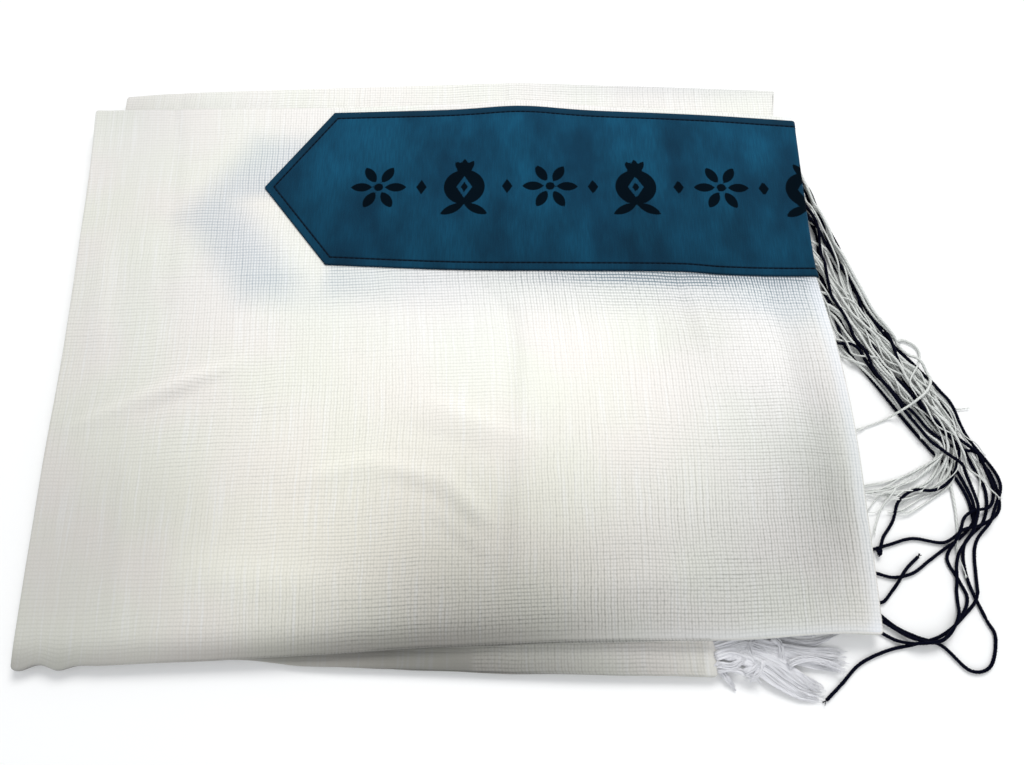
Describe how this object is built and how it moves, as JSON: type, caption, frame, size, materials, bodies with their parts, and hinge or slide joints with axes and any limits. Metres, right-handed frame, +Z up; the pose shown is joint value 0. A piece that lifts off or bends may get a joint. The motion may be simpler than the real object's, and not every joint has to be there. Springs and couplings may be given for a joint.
{
  "type": "tallit prayer shawl, folded flat",
  "caption": "Folded gauze prayer shawl lying flat, with a pointed blue collar band, a white fringe and loose corner tassel strings.",
  "frame": {"origin": "middle of the box round the object, on the surface that it lies on", "axes": "+X along the object's length towards the tassels, +Y from the front towards the back, where the band lies, +Z up"},
  "size_m": [0.4928, 0.3533, 0.023],
  "materials": {
    "gauze": "open woven off-white gauze, matte, slightly sheer",
    "band": "teal blue suede-like cloth with a soft nap and dark printed motifs",
    "white_fringe": "fine loose white threads",
    "white_string": "twisted off-white string, soft sheen",
    "black_string": "tightly twisted blue-black string"
  },
  "bodies": {
    "root": {"shawl_cloth": "gauze", "atarah": "band", "fringe": "white_fringe", "tzitzit_white": "white_string", "tzitzit_black": "black_string"}
  },
  "joints": []
}
